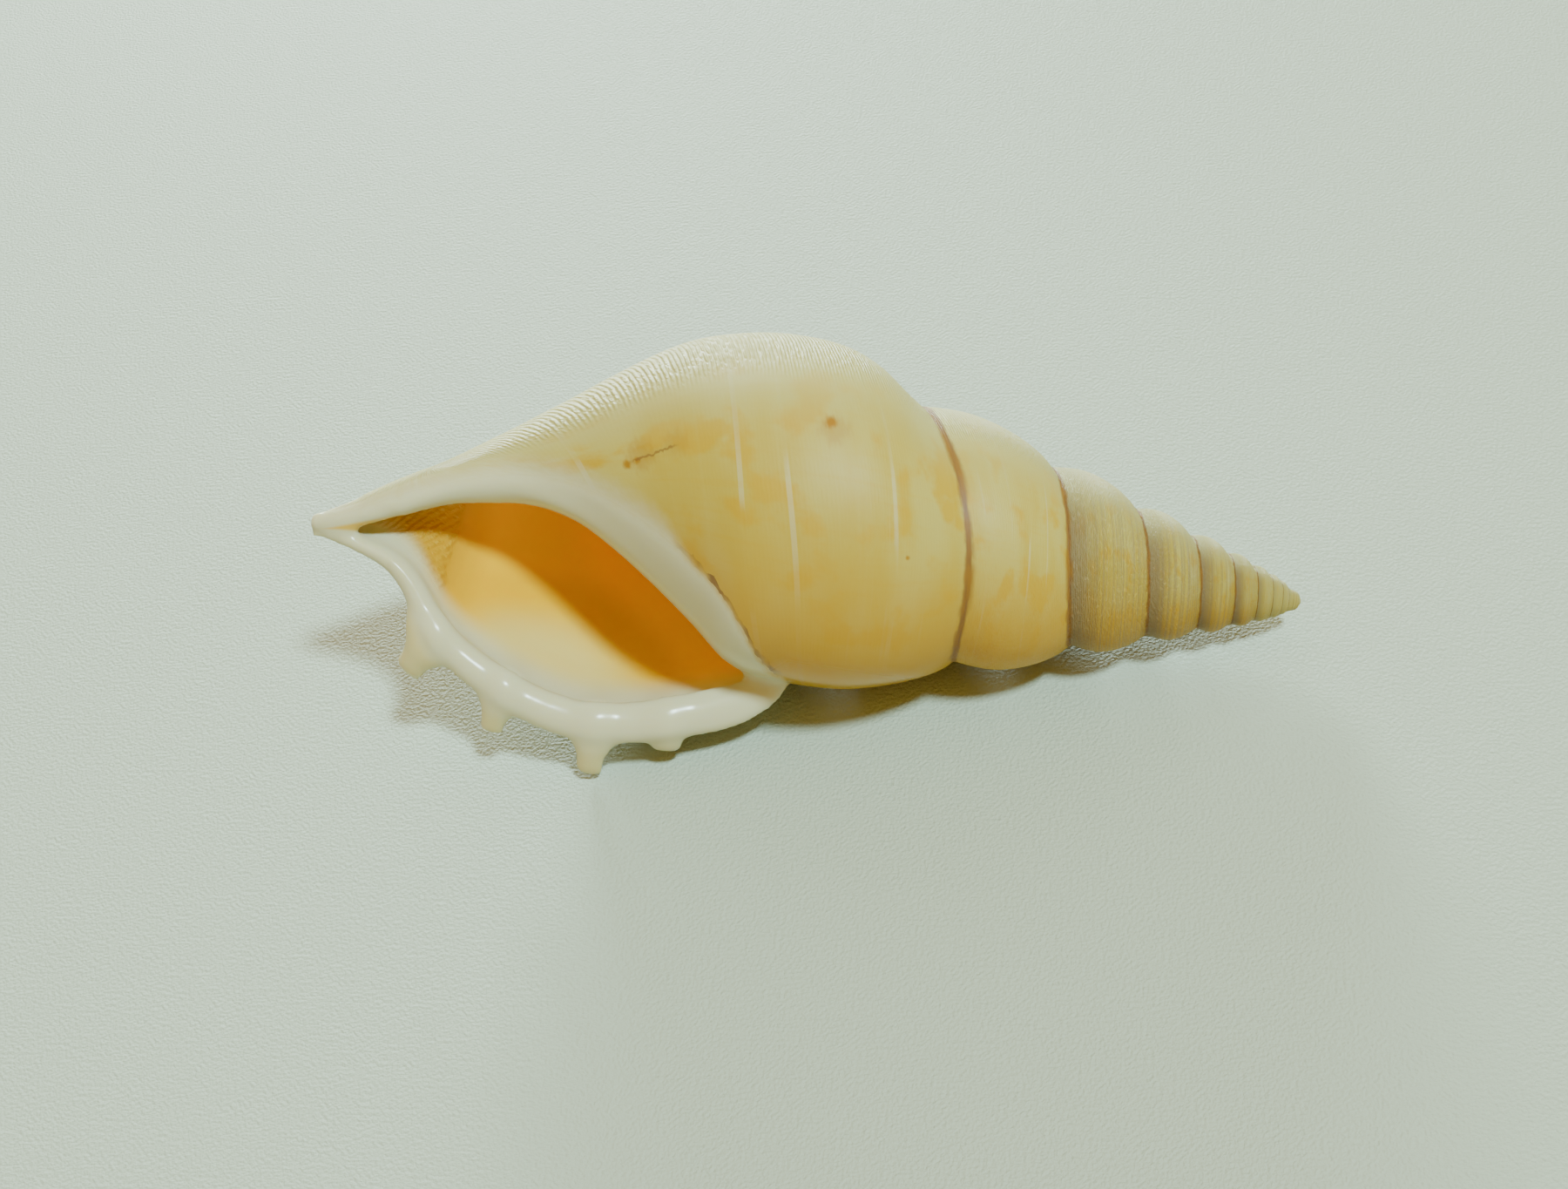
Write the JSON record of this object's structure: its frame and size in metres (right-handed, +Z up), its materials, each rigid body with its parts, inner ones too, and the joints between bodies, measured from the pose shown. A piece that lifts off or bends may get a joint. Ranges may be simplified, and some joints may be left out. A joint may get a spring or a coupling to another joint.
{
  "type": "conch shell",
  "caption": "Large spindle-shaped sea shell with a tall pointed spire, a short bent canal, a hollow glazed mouth and a thick fingered outer lip, lying with its mouth turned up.",
  "frame": {"origin": "on the ground, under the middle of the shell's bounding box", "axes": "+X along the shell towards the spire's tip, +Y away from the outer lip and its fingers, +Z up from the surface the shell lies on"},
  "size_m": [0.1376, 0.0546, 0.0497],
  "materials": {
    "shell": "satin"
  },
  "bodies": {
    "root": {"shell": "shell"}
  },
  "joints": []
}
